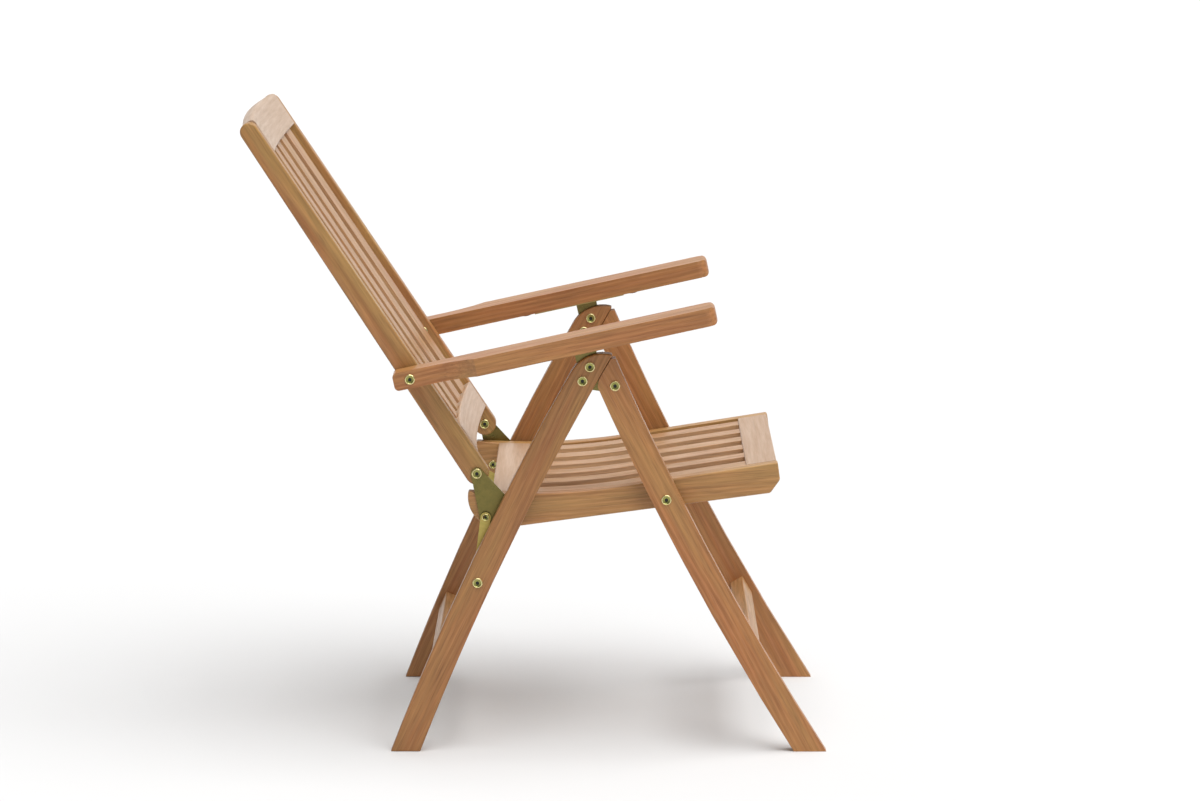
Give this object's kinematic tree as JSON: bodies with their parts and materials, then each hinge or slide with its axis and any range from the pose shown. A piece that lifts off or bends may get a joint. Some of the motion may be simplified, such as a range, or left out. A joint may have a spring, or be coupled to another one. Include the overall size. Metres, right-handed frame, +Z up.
{
  "type": "folding chair",
  "caption": "Reclining folding wooden armchair with slatted seat and dished slatted back, crossed bowed legs, notched armrests and swinging brass links.",
  "frame": {"origin": "on the floor, under the middle of the chair's bounding box as it stands open", "axes": "+X forward, the way a sitter faces, +Y to the sitter's left, +Z up"},
  "size_m": [0.9208, 0.592, 0.9932],
  "materials": {
    "teak_frame": "oiled teak, satin, grain along each member",
    "teak_cross": "oiled teak, satin, a little paler",
    "pad": "dark hardwood, satin",
    "hardware": "brushed yellow brass plate"
  },
  "bodies": {
    "rear_legs": {"rear_leg_left": "teak_frame", "rear_leg_right": "teak_frame", "rear_stretcher": "teak_cross", "apex_plate_left": "hardware", "apex_plate_right": "hardware", "apex_bolts": "hardware", "link_pivot_bolts": "hardware"},
    "front_legs": {"front_leg_left": "teak_frame", "front_leg_right": "teak_frame", "front_stretcher": "teak_cross", "fold_bolts": "hardware", "seat_pivot_bolts": "hardware"},
    "seat": {"seat_rail_left": "teak_frame", "seat_rail_right": "teak_frame", "seat_front_rail": "teak_cross", "seat_rear_rail": "teak_cross", "seat_slat_1": "teak_cross", "seat_slat_2": "teak_cross", "seat_slat_3": "teak_cross", "seat_slat_4": "teak_cross", "seat_slat_5": "teak_cross", "seat_slat_6": "teak_cross", "bracket_left": "hardware", "bracket_right": "hardware", "bracket_screws": "hardware"},
    "back_pivot": {"back_pivot_bolts": "hardware"},
    "back": {"back_stile_left": "teak_frame", "back_stile_right": "teak_frame", "back_top_rail": "teak_cross", "back_bottom_rail": "teak_cross", "back_slat_1": "teak_cross", "back_slat_2": "teak_cross", "back_slat_3": "teak_cross", "back_slat_4": "teak_cross", "back_slat_5": "teak_cross"},
    "arm_pivot": {"arm_pivot_bolts": "hardware"},
    "arms": {"armrest_left": "teak_frame", "armrest_right": "teak_frame", "rack_left": "hardware", "rack_right": "hardware", "rack_pads": "pad"},
    "link": {"link_left": "hardware", "link_right": "hardware", "link_studs": "hardware"}
  },
  "joints": [
    {"name": "fold", "type": "hinge", "parent": "rear_legs", "child": "front_legs", "pos_m": [0.12376, 0, 0.583], "axis": [0, 1, 0], "range_deg": [0, 53.2]},
    {"name": "seat_swing", "type": "hinge", "parent": "front_legs", "child": "seat", "pos_m": [0.20386, 0, 0.403], "axis": [0, 1, 0], "range_deg": [-95, 0]},
    {"name": "link_swing", "type": "hinge", "parent": "rear_legs", "child": "link", "pos_m": [-0.09077, 0, 0.271], "axis": [0, 1, 0], "range_deg": [-142, 0]},
    {"name": "back_fold", "type": "hinge", "parent": "seat", "child": "back_pivot", "pos_m": [-0.09164, 0, 0.4394], "axis": [0, 1, 0], "range_deg": [0, 90]},
    {"name": "recline", "type": "hinge", "parent": "back_pivot", "child": "back", "pos_m": [-0.09164, 0, 0.4394], "axis": [0, 1, 0], "range_deg": [-7.5, 21.5]},
    {"name": "arm_fold", "type": "hinge", "parent": "back", "child": "arm_pivot", "pos_m": [-0.19322, 0, 0.59522], "axis": [0, 1, 0], "range_deg": [-113, 0]},
    {"name": "arm_swing", "type": "hinge", "parent": "arm_pivot", "child": "arms", "pos_m": [-0.19322, 0, 0.59522], "axis": [0, 1, 0], "range_deg": [-19, 7]}
  ],
  "couplings": [
    {"joint": "seat_swing", "follows": "fold", "ratio": -1.7744},
    {"joint": "link_swing", "follows": "fold", "ratio": -2.6513},
    {"joint": "back_fold", "follows": "fold", "ratio": 1.6767},
    {"joint": "arm_fold", "follows": "fold", "ratio": -2.1053},
    {"joint": "arm_swing", "follows": "recline", "ratio": -0.82}
  ]
}
